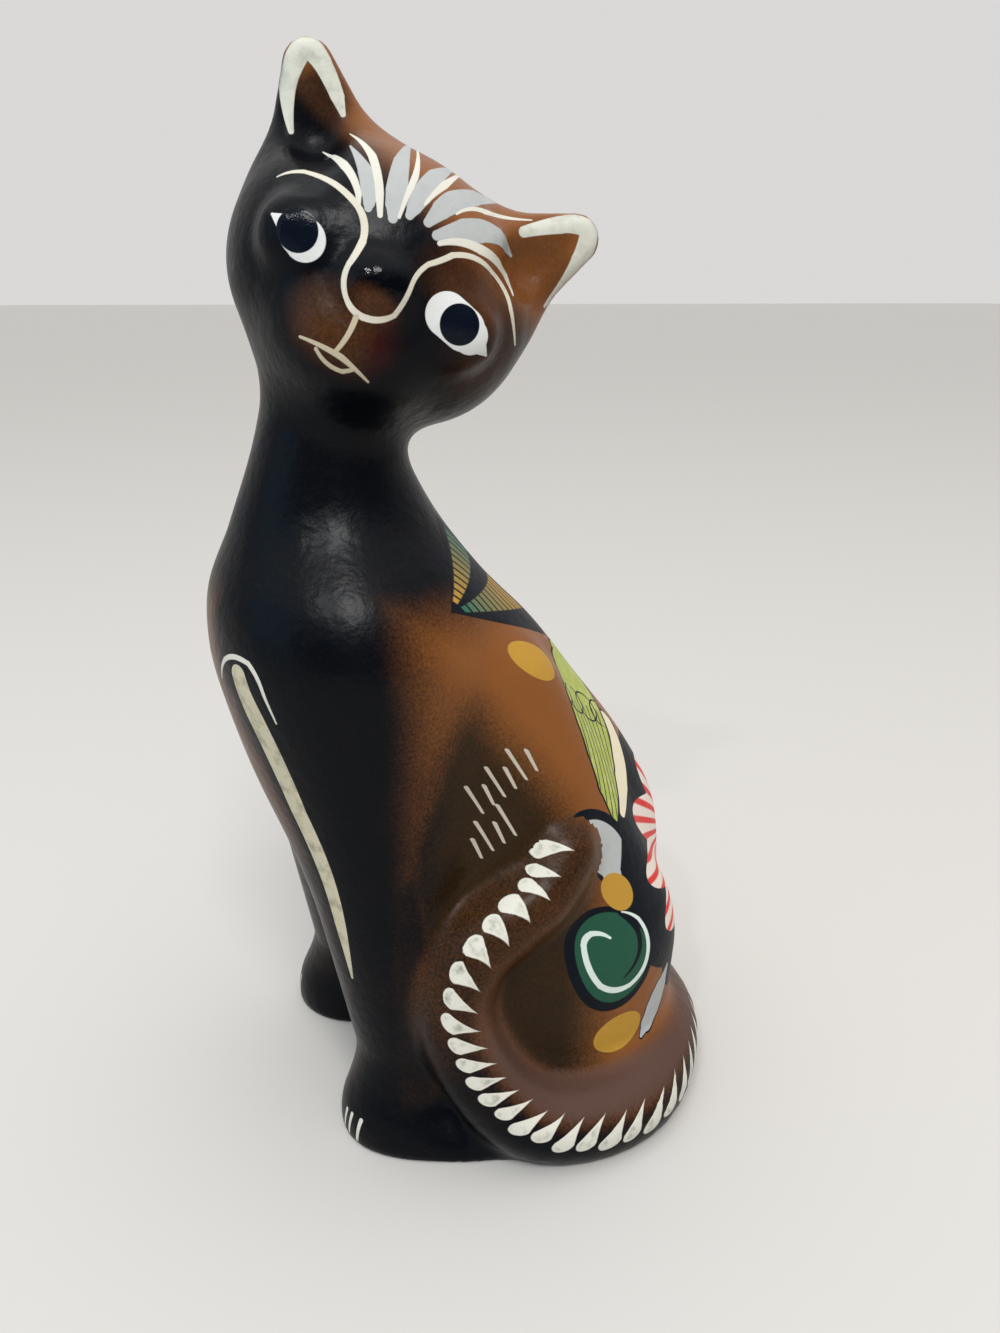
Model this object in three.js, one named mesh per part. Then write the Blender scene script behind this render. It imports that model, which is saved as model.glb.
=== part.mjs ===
// Clay cat figurine: a seated cat, its head turned to its left and tipped to one side,
// its tail laid round the base and up the left haunch. One cast piece standing on a flat foot.
// Millimetres. The cat faces -Y, its left side is +X, up is +Z.
import * as THREE from "three";

// Facet size on the body, facet size on the head, and the heights where one runs into the other
const BODY_FACET = 5.7;
const HEAD_FACET = 3.05;
const FACET_CHANGE = [150, 195];
const EVENING_ROUNDS = 3;
const FOOT_EDGE = 0.5;

// Torso and neck as oval sections: height, front, back and half width
const TORSO = [
  { z: 0, front: -20, back: 46, half: 35 },
  { z: 20, front: -24, back: 49.5, half: 37 },
  { z: 45, front: -35, back: 50.5, half: 35.5 },
  { z: 70, front: -50, back: 48.5, half: 34 },
  { z: 90, front: -60, back: 38, half: 33.5 },
  { z: 110, front: -66, back: 23, half: 33.5 },
  { z: 127, front: -69, back: 10, half: 32.5 },
  { z: 140, front: -69, back: -2.5, half: 29 },
  { z: 155, front: -63.5, back: -14, half: 22.5 },
  { z: 172, front: -57, back: -22.5, half: 18 },
  { z: 190, front: -52, back: -26, half: 17 },
];
const NECK_TOP = 192;

// Front leg: shoulder to ankle, and the paw as a low dome
const SHOULDER = { at: [14, -39, 124], radius: 25 };
const ANKLE = { at: [26, -31, 22], radius: 15 };
const PAW = { at: [28, -33.5, 2], radii: [17.5, 18.5, 19] };

// Both sides run together over this width at the middle of the chest
const CLEFT = 5;

// Haunch: a leaning lobe pressed flat against the body, its heel, and the hind foot
const HIP = { at: [24, 8, 38], radius: 37 };
const HAUNCH_TOP = { at: [22, -7, 111], radius: 17 };
const HAUNCH_FLATNESS = 0.68;
const HEEL = { at: [26, 8, 6], radii: [23, 33, 26] };
const HIND_FOOT = { at: [34, -12, 0], radii: [20, 30, 13] };

// Head: how far it is turned and tipped, its middle, and its forms as across, up and forward
const HEAD_TURN = THREE.MathUtils.degToRad(74);
const HEAD_TIP = THREE.MathUtils.degToRad(30);
const HEAD_AT = [0.2, -26.2, 205.5];
const SKULL = { at: [0, 0, 0], radii: [34.2, 28, 28.5] };
const CROWN = { at: [0, 9, -1], radii: [30, 17, 22] };
const MUZZLE = { at: [0, -13, 19], radii: [15, 12, 14] };
const NOSE = { at: [0, 1, 27], radii: [7, 6, 6] };
const EYE = { at: [17.5, 1.5, 21], radii: [9, 8, 6.5] };

// Ear: a flattened cone, and the hollow in its front that opens out over the brow
const EAR_ROOT = { at: [20, 15, -2], radius: 13.5 };
const EAR_TIP = { at: [33, 31.8, 0], radius: 5.4 };
const EAR_FLATNESS = 0.62;
const HOLLOW_ROOT = { at: [26.5, 22, 9], radius: 6 };
const HOLLOW_TIP = { at: [33, 31.5, 4.5], radius: 2.2 };
const HOLLOW_MOUTH = { at: [25, 18, 24], radius: 8.5 };
const HOLLOW_FLATNESS = 0.9;

// Tail: its middle line from the rump round the base and up the haunch, with its radius
const TAIL = [
  { at: [-10, 46, 5.5], radius: 9 },
  { at: [8, 47.5, 5.5], radius: 9.5 },
  { at: [26, 44, 6], radius: 10 },
  { at: [41, 34.5, 6], radius: 10.2 },
  { at: [51.5, 22, 6], radius: 10.2 },
  { at: [55, 8, 6.5], radius: 10.2 },
  { at: [54, -7, 9.5], radius: 9.9 },
  { at: [50.5, -17, 17], radius: 9.5 },
  { at: [46.5, -24, 29], radius: 9.2 },
  { at: [44, -26, 43], radius: 9 },
  { at: [43.5, -21, 56], radius: 8.8 },
  { at: [43.5, -11.5, 63.5], radius: 8.6 },
  { at: [42.5, -2, 69], radius: 8.2 },
  { at: [40.5, 4.5, 76.5], radius: 7.2 },
];
const TAIL_STEPS = 3;

// Fillet widths where the forms run into each other
const BLEND = { neck: 10, leg: 16, paw: 8, haunch: 5, heel: 16, foot: 6, face: 10, nose: 5, eye: 4 };
const EAR_BLEND = { root: 7, hollow: 3 };
const TAIL_BLEND = 7;
const THROAT_BLEND = 6;

const GLAZE = { color: 0x3a2a1f, roughness: 0.42, metalness: 0 };

function softMin(a, b, width) {
  const h = Math.max(width - Math.abs(a - b), 0) / width;
  return Math.min(a, b) - h * h * width * 0.25;
}

function softMax(a, b, width) {
  return -softMin(-a, -b, width);
}

// Distance to an ellipsoid, near enough close to its surface
function dome(p, form) {
  const q = [0, 1, 2].map((i) => (p[i] - form.at[i]) / form.radii[i]);
  const near = Math.hypot(...q);
  const steep = Math.hypot(q[0] / form.radii[0], q[1] / form.radii[1], q[2] / form.radii[2]);
  return (near * (near - 1)) / Math.max(steep, 1e-9);
}

// Distance to a round-ended cone between two balls
function cone(p, from, to) {
  const along = [0, 1, 2].map((i) => to.at[i] - from.at[i]);
  const out = [0, 1, 2].map((i) => p[i] - from.at[i]);
  const length = Math.hypot(...along);
  const y = (out[0] * along[0] + out[1] * along[1] + out[2] * along[2]) / length;
  const x = Math.sqrt(Math.max(out[0] ** 2 + out[1] ** 2 + out[2] ** 2 - y * y, 0));
  const slope = (from.radius - to.radius) / length;
  const level = Math.sqrt(1 - slope * slope);
  const side = level * y - slope * x;
  if (side < 0) return Math.hypot(x, y) - from.radius;
  if (side > level * length) return Math.hypot(x, y - length) - to.radius;
  return level * x + slope * y - from.radius;
}

// The same cone pressed flat along one of the three directions
function flatCone(p, from, to, axis, flatness) {
  const stretch = (v) => v.map((value, i) => (i === axis ? value / flatness : value));
  const a = { at: stretch(from.at), radius: from.radius };
  const b = { at: stretch(to.at), radius: to.radius };
  return cone(stretch(p), a, b) * (0.5 + 0.5 * flatness);
}

function mirrored(form, side) {
  return { ...form, at: [form.at[0] * side, form.at[1], form.at[2]] };
}

// Smooth curve of one torso measure over the height
function torsoMeasure(z, key) {
  const slope = (i) => {
    const a = TORSO[Math.max(i - 1, 0)];
    const b = TORSO[i];
    const c = TORSO[Math.min(i + 1, TORSO.length - 1)];
    if (a === b) return (c[key] - b[key]) / (c.z - b.z);
    if (b === c) return (b[key] - a[key]) / (b.z - a.z);
    const before = b.z - a.z;
    const after = c.z - b.z;
    const rise = ((b[key] - a[key]) / before) * after + ((c[key] - b[key]) / after) * before;
    return rise / (before + after);
  };
  const top = TORSO.length - 2;
  let i = 0;
  while (i < top && z > TORSO[i + 1].z) i += 1;
  const span = TORSO[i + 1].z - TORSO[i].z;
  const t = Math.min(Math.max((z - TORSO[i].z) / span, 0), 1);
  const t2 = t * t;
  const t3 = t2 * t;
  const start = (2 * t3 - 3 * t2 + 1) * TORSO[i][key] + (t3 - 2 * t2 + t) * span * slope(i);
  const end = (3 * t2 - 2 * t3) * TORSO[i + 1][key] + (t3 - t2) * span * slope(i + 1);
  return start + end;
}

function torso(p) {
  const front = torsoMeasure(p[2], "front");
  const back = torsoMeasure(p[2], "back");
  const half = torsoMeasure(p[2], "half");
  const deep = (back - front) / 2;
  const dx = p[0];
  const dy = p[1] - (front + back) / 2;
  const share = Math.hypot(dx / half, dy / deep) + 1e-9;
  const round = Math.hypot(dx, dy) * (1 - 1 / share);
  const wall = Math.max(round, -Math.min(half, deep));
  return softMax(wall, p[2] - NECK_TOP, THROAT_BLEND);
}

// Points of the tail's middle line on a smooth curve through the given ones
function tailLine() {
  const value = (node) => [...node.at, node.radius];
  const nodes = TAIL.map(value);
  const last = nodes.length - 1;
  const before = nodes[0].map((v, i) => 2 * v - nodes[1][i]);
  const after = nodes[last].map((v, i) => 2 * v - nodes[last - 1][i]);
  const all = [before, ...nodes, after];
  const line = [];
  for (let n = 1; n <= last; n += 1) {
    for (let step = 0; step < TAIL_STEPS; step += 1) {
      const t = step / TAIL_STEPS;
      line.push(
        all[n].map((v, i) => {
          const a = all[n - 1][i];
          const b = all[n + 1][i];
          const c = all[n + 2][i];
          const bend = (2 * a - 5 * v + 4 * b - c) * t * t + (3 * v - a - 3 * b + c) * t * t * t;
          return v + 0.5 * ((b - a) * t + bend);
        })
      );
    }
  }
  line.push(nodes[last]);
  return line.map((v) => ({ at: v.slice(0, 3), radius: v[3] }));
}

const TAIL_LINE = tailLine();

function tail(p) {
  let near = Infinity;
  for (let i = 1; i < TAIL_LINE.length; i += 1) {
    near = Math.min(near, cone(p, TAIL_LINE[i - 1], TAIL_LINE[i]));
  }
  return near;
}

// The head's own directions: across to its left, up, and forward along the nose
const LEVEL = new THREE.Vector3(Math.cos(HEAD_TURN), Math.sin(HEAD_TURN), 0);
const UPRIGHT = new THREE.Vector3(0, 0, 1);
const FORWARD = new THREE.Vector3(Math.sin(HEAD_TURN), -Math.cos(HEAD_TURN), 0);
const ACROSS = LEVEL.clone().applyAxisAngle(FORWARD, -HEAD_TIP);
const HEAD_UP = UPRIGHT.clone().applyAxisAngle(FORWARD, -HEAD_TIP);

function head(point) {
  const offset = new THREE.Vector3(...point.map((v, i) => v - HEAD_AT[i]));
  const p = [offset.dot(ACROSS), offset.dot(HEAD_UP), offset.dot(FORWARD)];
  let form = softMin(dome(p, SKULL), dome(p, CROWN), BLEND.face);
  form = softMin(form, dome(p, MUZZLE), BLEND.face);
  form = softMin(form, dome(p, NOSE), BLEND.nose);
  for (const side of [-1, 1]) {
    form = softMin(form, dome(p, mirrored(EYE, side)), BLEND.eye);
    const root = mirrored(EAR_ROOT, side);
    const tip = mirrored(EAR_TIP, side);
    form = softMin(form, flatCone(p, root, tip, 2, EAR_FLATNESS), EAR_BLEND.root);
    const deep = mirrored(HOLLOW_ROOT, side);
    const inner = flatCone(p, deep, mirrored(HOLLOW_TIP, side), 2, HOLLOW_FLATNESS);
    const outer = flatCone(p, deep, mirrored(HOLLOW_MOUTH, side), 2, HOLLOW_FLATNESS);
    form = softMax(form, -softMin(inner, outer, EAR_BLEND.hollow), EAR_BLEND.hollow);
  }
  return form;
}

// Signed distance to the whole cat, without the flat cut under it
function cat(p) {
  const pair = [Math.hypot(p[0], CLEFT), p[1], p[2]];
  const leg = softMin(cone(pair, SHOULDER, ANKLE), dome(pair, PAW), BLEND.paw);
  const lobe = flatCone(pair, HIP, HAUNCH_TOP, 0, HAUNCH_FLATNESS);
  const haunch = softMin(lobe, dome(pair, HEEL), BLEND.heel);
  let form = softMin(torso(p), leg, BLEND.leg);
  form = softMin(form, haunch, BLEND.haunch);
  form = softMin(form, dome(pair, HIND_FOOT), BLEND.foot);
  form = softMin(form, head(p), BLEND.neck);
  return softMin(form, tail(p), TAIL_BLEND);
}

function solid(p) {
  return Math.max(cat(p), -p[2]);
}

// Lattice layers from below the foot to over the ears, closer together at the head
function facetAt(z) {
  const t = THREE.MathUtils.smoothstep(z, FACET_CHANGE[0], FACET_CHANGE[1]);
  return BODY_FACET + (HEAD_FACET - BODY_FACET) * t;
}

// Where a point of the head stands in the cat's own directions
function fromHead(at) {
  const place = new THREE.Vector3(...HEAD_AT);
  [ACROSS, HEAD_UP, FORWARD].forEach((way, i) => place.addScaledVector(way, at[i]));
  return place.toArray();
}

// Balls round the forms, which the lattice is made large enough to hold
const ballRound = (form) => ({ at: form.at, radius: form.radius ?? Math.max(...form.radii) });
const ringBall = ({ z, front, back }) => ({ at: [0, (front + back) / 2, z], radius: (back - front) / 2 });
const bothSides = (form) => [-1, 1].map((side) => ballRound(mirrored(form, side)));
const LIMBS = [SHOULDER, ANKLE, PAW, HIP, HAUNCH_TOP, HEEL, HIND_FOOT].flatMap(bothSides);
const BODY_BALLS = [...TORSO.map(ringBall), ...LIMBS, ...TAIL];
const FACE = [SKULL, CROWN, MUZZLE, NOSE].map(ballRound);
const HEAD_FORMS = [...FACE, ...[EYE, EAR_ROOT, EAR_TIP].flatMap(bothSides)];
const HEAD_BALLS = HEAD_FORMS.map(({ at, radius }) => ({ at: fromHead(at), radius }));

const LATTICE_AXIS = [4.4, -21.3];
const spread = (balls) =>
  Math.max(...balls.flatMap(({ at, radius }) => [0, 1].map((i) => Math.abs(at[i] - LATTICE_AXIS[i]) + radius)));
const topOf = (balls) => Math.max(...balls.map(({ at, radius }) => at[2] + radius));
const LATTICE_TOP = Math.max(topOf(BODY_BALLS), topOf(HEAD_BALLS)) + 2 * HEAD_FACET;
const LAYERS = [-BODY_FACET / 2];
while (LAYERS[LAYERS.length - 1] < LATTICE_TOP) {
  LAYERS.push(LAYERS[LAYERS.length - 1] + facetAt(LAYERS[LAYERS.length - 1]));
}
const HALF_COLUMNS = Math.ceil(Math.max(spread(BODY_BALLS) / BODY_FACET, spread(HEAD_BALLS) / HEAD_FACET)) + 1;
const COLUMNS = 2 * HALF_COLUMNS + 1;

// The lattice columns draw together towards the head
function latticePoint(i, j, k) {
  const size = facetAt(LAYERS[k]);
  const middle = (COLUMNS - 1) / 2;
  return [LATTICE_AXIS[0] + (i - middle) * size, LATTICE_AXIS[1] + (j - middle) * size, LAYERS[k]];
}

// Slides a point along the steepest way onto the surface, or level with the floor at the foot
function settle(point, levelOnly, reach, form) {
  const p = [...point];
  const gap = reach * 0.4;
  for (let round = 0; round < 4; round += 1) {
    const here = form(p);
    const slope = [0, 1, 2].map((i) => {
      const ahead = [...p];
      const behind = [...p];
      ahead[i] += gap;
      behind[i] -= gap;
      return (form(ahead) - form(behind)) / (2 * gap);
    });
    if (levelOnly) slope[2] = 0;
    const steep = slope[0] ** 2 + slope[1] ** 2 + slope[2] ** 2;
    const move = Math.min(Math.max(here / Math.max(steep, 0.2), -reach), reach);
    for (let i = 0; i < 3; i += 1) p[i] -= slope[i] * move;
  }
  const drift = Math.hypot(p[0] - point[0], p[1] - point[1], p[2] - point[2]);
  return drift < 2 * reach ? p : [...point];
}

// Evens out the facets above the foot: each corner moves towards its neighbours, then settles
function even(corners, quads, rim) {
  const neighbours = corners.map(() => []);
  for (const quad of quads) {
    quad.forEach((corner, i) => neighbours[corner].push(quad[(i + 1) % 4]));
  }
  for (let round = 0; round < EVENING_ROUNDS; round += 1) {
    const moved = corners.map((corner, n) => {
      const onFloor = corner[2] < FOOT_EDGE;
      if (onFloor && !rim.has(n)) return corner;
      const near = neighbours[n].filter((m) => !onFloor || rim.has(m));
      const sum = near.reduce((total, m) => total.map((v, i) => v + corners[m][i]), [0, 0, 0]);
      const eased = corner.map((v, i) => (v + sum[i] / near.length) / 2);
      const settled = settle(eased, onFloor, facetAt(corner[2]) * 0.5, cat);
      settled[2] = onFloor ? 0 : Math.max(settled[2], FOOT_EDGE);
      return settled;
    });
    moved.forEach((corner, n) => {
      corners[n] = corner;
    });
  }
}

// Groups the crossed edges of a lattice cell into the separate sheets that run through it.
// Cell corners are numbered by their bits; the edge from corner n along an axis is 3 n + axis.
function sheets(inside) {
  const group = new Map();
  for (let n = 0; n < 8; n += 1) {
    for (let axis = 0; axis < 3; axis += 1) {
      const crossed = !((n >> axis) & 1) && inside[n] !== inside[n | (1 << axis)];
      if (crossed) group.set(3 * n + axis, 3 * n + axis);
    }
  }
  const join = (a, b) => {
    const keep = group.get(a);
    const drop = group.get(b);
    for (const [edge, root] of group) if (root === drop) group.set(edge, keep);
  };
  for (let axis = 0; axis < 3; axis += 1) {
    const sides = [0, 1, 2].filter((other) => other !== axis);
    for (let level = 0; level < 2; level += 1) {
      const face = [0, 1, 2, 3, 4, 5, 6, 7].filter((n) => ((n >> axis) & 1) === level);
      const edgesAt = (n) => sides.map((side) => 3 * (n & ~(1 << side)) + side);
      const crossed = [...new Set(face.flatMap(edgesAt))].filter((edge) => group.has(edge));
      if (crossed.length === 2) join(...crossed);
      if (crossed.length === 4) face.filter((n) => inside[n]).forEach((n) => join(...edgesAt(n)));
    }
  }
  return group;
}

// Surface of the solid as closed facets: one corner per sheet in each lattice cell
function surface() {
  const index = (i, j, k) => (k * COLUMNS + j) * COLUMNS + i;
  const values = new Float64Array(COLUMNS * COLUMNS * LAYERS.length);
  for (let k = 0; k < LAYERS.length; k += 1) {
    for (let j = 0; j < COLUMNS; j += 1) {
      for (let i = 0; i < COLUMNS; i += 1) {
        values[index(i, j, k)] = solid(latticePoint(i, j, k));
      }
    }
  }
  const corners = [];
  const rim = new Set();
  const cornerOf = new Map();
  const offsets = [0, 1, 2, 3, 4, 5, 6, 7].map((n) => [n & 1, (n >> 1) & 1, (n >> 2) & 1]);
  for (let k = 0; k + 1 < LAYERS.length; k += 1) {
    for (let j = 0; j + 1 < COLUMNS; j += 1) {
      for (let i = 0; i + 1 < COLUMNS; i += 1) {
        const value = offsets.map((o) => values[index(i + o[0], j + o[1], k + o[2])]);
        const inside = value.map((v) => v < 0);
        const within = inside.filter(Boolean).length;
        if (within === 0 || within === 8) continue;
        const group = sheets(inside);
        for (const root of new Set(group.values())) {
          const edges = [...group.keys()].filter((edge) => group.get(edge) === root);
          const crossings = edges.map((edge) => {
            const a = Math.floor(edge / 3);
            const b = a | (1 << edge % 3);
            const start = latticePoint(...offsets[a].map((o, n) => o + [i, j, k][n]));
            const end = latticePoint(...offsets[b].map((o, n) => o + [i, j, k][n]));
            const share = value[a] / (value[a] - value[b]);
            return start.map((v, n) => v + (end[n] - v) * share);
          });
          let corner = [0, 1, 2].map((n) => crossings.reduce((sum, c) => sum + c[n], 0) / crossings.length);
          const reach = facetAt(LAYERS[k]) * 0.5;
          if (k > 0) corner = settle(corner, false, reach, cat);
          else {
            corner[2] = 0;
            if (within < 4) {
              corner = settle(corner, true, reach, cat);
              rim.add(corners.length);
            }
          }
          for (const edge of edges) cornerOf.set(24 * index(i, j, k) + edge, corners.length);
          corners.push(corner);
        }
      }
    }
  }
  const quads = [];
  const turn = [[0, 0], [1, 0], [1, 1], [0, 1]];
  for (let k = 0; k + 1 < LAYERS.length; k += 1) {
    for (let j = 1; j + 1 < COLUMNS; j += 1) {
      for (let i = 1; i + 1 < COLUMNS; i += 1) {
        for (let axis = 0; axis < 3; axis += 1) {
          const here = values[index(i, j, k)] < 0;
          const next = [i, j, k];
          next[axis] += 1;
          if (here === values[index(...next)] < 0) continue;
          const quad = turn.map(([u, v]) => {
            const back = [0, 0, 0];
            back[(axis + 1) % 3] = u;
            back[(axis + 2) % 3] = v;
            const edge = 3 * (back[0] + 2 * back[1] + 4 * back[2]) + axis;
            return cornerOf.get(24 * index(i - back[0], j - back[1], k - back[2]) + edge);
          });
          quads.push(here ? quad : quad.reverse());
        }
      }
    }
  }
  even(corners, quads, rim);
  const far = (a, b) => Math.hypot(...corners[a].map((v, i) => v - corners[b][i]));
  const split = ([a, b, c, d]) => (far(a, c) <= far(b, d) ? [a, b, c, a, c, d] : [b, c, d, b, d, a]);
  const geometry = new THREE.BufferGeometry();
  geometry.setAttribute("position", new THREE.Float32BufferAttribute(corners.flat(), 3));
  geometry.setIndex(quads.flatMap(split));
  return geometry;
}

// The foot is centred on the axes with the floor at zero
const geometry = surface();
geometry.computeBoundingBox();
const { min, max } = geometry.boundingBox;
geometry.translate(-(min.x + max.x) / 2, -(min.y + max.y) / 2, -min.z);
geometry.computeVertexNormals();

const figurine = new THREE.Mesh(geometry, new THREE.MeshStandardMaterial(GLAZE));
figurine.name = "cat_figurine";

const group = new THREE.Group();
group.name = "clay_cat_figurine";
group.add(figurine);

export default group;
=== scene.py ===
import math
from functools import reduce
import bpy
import numpy as np
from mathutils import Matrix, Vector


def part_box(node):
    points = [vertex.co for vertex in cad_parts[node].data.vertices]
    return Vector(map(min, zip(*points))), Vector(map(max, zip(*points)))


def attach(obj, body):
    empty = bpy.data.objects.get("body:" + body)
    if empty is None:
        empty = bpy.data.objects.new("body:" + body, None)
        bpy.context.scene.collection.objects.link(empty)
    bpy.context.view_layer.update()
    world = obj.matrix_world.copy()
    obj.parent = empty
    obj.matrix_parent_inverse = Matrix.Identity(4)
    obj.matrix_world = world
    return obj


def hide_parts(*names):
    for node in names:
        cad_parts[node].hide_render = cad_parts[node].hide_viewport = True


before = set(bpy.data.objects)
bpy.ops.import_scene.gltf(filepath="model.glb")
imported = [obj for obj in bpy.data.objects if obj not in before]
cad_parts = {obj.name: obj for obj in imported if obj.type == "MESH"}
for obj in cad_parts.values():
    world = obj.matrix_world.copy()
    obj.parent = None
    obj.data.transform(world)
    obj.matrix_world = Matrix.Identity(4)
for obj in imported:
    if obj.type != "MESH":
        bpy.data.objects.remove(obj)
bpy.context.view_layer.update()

# The cat's clay body: one hollow slip-cast piece, seated, its head turned to its left and
# tipped, its tail laid round the base and up the haunch. Sizes are in millimetres in the cat's
# own directions: it faces -Y, its left side is +X. The mesh is the true smooth surface.
TORSO_Z = [0, 20, 45, 70, 90, 110, 127, 140, 155, 172, 190]
TORSO_FRONT = [-20, -24, -35, -50, -60, -66, -69, -69, -63.5, -57, -52]
TORSO_BACK = [46, 49.5, 50.5, 48.5, 38, 23, 10, -2.5, -14, -22.5, -26]
TORSO_HALF = [35, 37, 35.5, 34, 33.5, 33.5, 32.5, 29, 22.5, 18, 17]
NECK_TOP = 192
HEAD_TURN, HEAD_TIP = math.radians(74), math.radians(30)
HEAD_AT = np.array([0.2, -26.2, 205.5])
TAIL = np.array([
    (-10, 46, 5.5, 9), (8, 47.5, 5.5, 9.5), (26, 44, 6, 10), (41, 34.5, 6, 10.2), (51.5, 22, 6, 10.2),
    (55, 8, 6.5, 10.2), (54, -7, 9.5, 9.9), (50.5, -17, 17, 9.5), (46.5, -24, 29, 9.2), (44, -26, 43, 9),
    (43.5, -21, 56, 8.8), (43.5, -11.5, 63.5, 8.6), (42.5, -2, 69, 8.2), (40.5, 4.5, 76.5, 7.2)], float)
# A cone is one end with its radius and the other end with its radius, a dome its middle and its
# half measures. The legs, haunches, eyes and ears are pairs, given for the cat's left side.
MIDLINE_SOFTNESS = 5
FRONT_LEG, FRONT_PAW = ([14, -39, 124], 25, [26, -31, 22], 15), ([28, -33.5, 2], [17.5, 18.5, 19])
HAUNCH, HAUNCH_FLATNESS = ([24, 8, 38], 37, [22, -7, 111], 17), 0.68
HIP, HIND_FOOT = ([26, 8, 6], [23, 33, 26]), ([34, -12, 0], [20, 30, 13])
SKULL, CROWN = ([0, 0, 0], [34.2, 28, 28.5]), ([0, 9, -1], [30, 17, 22])
MUZZLE, NOSE = ([0, -13, 19], [15, 12, 14]), ([0, 1, 27], [7, 6, 6])
EYE_SWELL = ([17.5, 1.5, 21], [9, 8, 6.5])
EAR, EAR_FLATNESS = ([20, 15, -2], 13.5, [33, 31.8, 0], 5.4), 0.62
EAR_HOLLOW, HOLLOW_FLATNESS = (([26.5, 22, 9], 6, [33, 31.5, 4.5], 2.2), ([26.5, 22, 9], 6, [25, 18, 24], 8.5)), 0.9
GRID_STEP = 1.3
FOOT_ROUNDING = 1.2

level = np.array([math.cos(HEAD_TURN), math.sin(HEAD_TURN), 0])
forward = np.array([math.sin(HEAD_TURN), -math.cos(HEAD_TURN), 0])
upright = np.array([0, 0, 1.0])
HEAD_WAYS = np.stack([
    math.cos(HEAD_TIP) * level - math.sin(HEAD_TIP) * upright,
    math.sin(HEAD_TIP) * level + math.cos(HEAD_TIP) * upright,
    forward])


def soft_min(a, b, width):
    """Two forms joined, with a fillet of this width in millimetres between them."""
    h = np.maximum(width - np.abs(a - b), 0) / width
    return np.minimum(a, b) - h * h * width * 0.25


def soft_max(a, b, width):
    return -soft_min(-a, -b, width)


def dome(p, at, radii):
    radii = np.array(radii, float)
    q = (p - np.array(at)) / radii
    near = np.linalg.norm(q, axis=-1)
    return near * (near - 1) / np.maximum(np.linalg.norm(q / radii, axis=-1), 1e-9)


def cone(p, a, ra, b, rb):
    a, b = np.array(a, float), np.array(b, float)
    length = np.linalg.norm(b - a)
    slope = (ra - rb) / length
    flat = math.sqrt(1 - slope * slope)
    y = (p - a) @ (b - a) / length
    x = np.sqrt(np.maximum(((p - a) ** 2).sum(-1) - y * y, 0))
    side = flat * y - slope * x
    ends = np.where(side < 0, np.hypot(x, y) - ra, np.hypot(x, y - length) - rb)
    return np.where((side < 0) | (side > flat * length), ends, flat * x + slope * y - ra)


def flat_cone(p, a, ra, b, rb, axis, flatness):
    stretch = np.ones(3)
    stretch[axis] = 1 / flatness
    return cone(p * stretch, np.array(a) * stretch, ra, np.array(b) * stretch, rb) * (0.5 + 0.5 * flatness)


def torso_measure(z, values):
    heights, values = np.array(TORSO_Z, float), np.array(values, float)
    slopes = np.gradient(values, heights)
    i = np.clip(np.searchsorted(heights, z) - 1, 0, len(heights) - 2)
    span = heights[i + 1] - heights[i]
    t = np.clip((z - heights[i]) / span, 0, 1)
    start = (2 * t**3 - 3 * t**2 + 1) * values[i] + (t**3 - 2 * t**2 + t) * span * slopes[i]
    return start + (3 * t**2 - 2 * t**3) * values[i + 1] + (t**3 - t**2) * span * slopes[i + 1]


def torso(p):
    front, back = torso_measure(p[:, 2], TORSO_FRONT), torso_measure(p[:, 2], TORSO_BACK)
    half, deep = torso_measure(p[:, 2], TORSO_HALF), (back - front) / 2
    dx, dy = p[:, 0], p[:, 1] - (front + back) / 2
    share = np.hypot(dx / half, dy / deep) + 1e-9
    wall = np.maximum(np.hypot(dx, dy) * (1 - 1 / share), -np.minimum(half, deep))
    return soft_max(wall, p[:, 2] - NECK_TOP, 6)


def body(p):
    pair = np.stack([np.hypot(p[:, 0], MIDLINE_SOFTNESS), p[:, 1], p[:, 2]], 1)
    leg = soft_min(cone(pair, *FRONT_LEG), dome(pair, *FRONT_PAW), 8)
    haunch = soft_min(flat_cone(pair, *HAUNCH, 0, HAUNCH_FLATNESS), dome(pair, *HIP), 16)
    form = soft_min(soft_min(torso(p), leg, 16), haunch, 5)
    return soft_min(form, dome(pair, *HIND_FOOT), 6)


def head(p):
    q = (p - HEAD_AT) @ HEAD_WAYS.T
    form = soft_min(dome(q, *SKULL), dome(q, *CROWN), 10)
    form = soft_min(form, dome(q, *MUZZLE), 10)
    form = soft_min(form, dome(q, *NOSE), 5)
    for side in (-1, 1):
        half = q * (side, 1, 1)
        form = soft_min(form, dome(half, *EYE_SWELL), 4)
        form = soft_min(form, flat_cone(half, *EAR, 2, EAR_FLATNESS), 7)
        hollow = soft_min(*(flat_cone(half, *cut, 2, HOLLOW_FLATNESS) for cut in EAR_HOLLOW), 3)
        form = soft_max(form, -hollow, 3)
    return form


def spline(marks, steps):
    """A smooth line through marked places, with the measures that go with them."""
    marks = np.array(marks, float)
    ends = np.vstack([2 * marks[0] - marks[1], marks, 2 * marks[-1] - marks[-2]])
    line = []
    for k in range(1, len(ends) - 2):
        a, v, b, c = ends[k - 1:k + 3]
        for t in np.arange(steps) / steps:
            bend = (2 * a - 5 * v + 4 * b - c) * t * t + (3 * v - a - 3 * b + c) * t**3
            line.append(v + 0.5 * ((b - a) * t + bend))
    return np.array(line + [marks[-1]])


TAIL_LINE = spline(TAIL, 3)


def tail(p):
    near = np.full(len(p), 1e9)
    for a, b in zip(TAIL_LINE[:-1], TAIL_LINE[1:]):
        near = np.minimum(near, cone(p, a[:3], a[3], b[:3], b[3]))
    return near


def cat(p):
    return soft_min(soft_min(body(p), head(p), 10), tail(p), 7)


def solid(p):
    return soft_max(cat(p), -p[:, 2], FOOT_ROUNDING)


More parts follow.
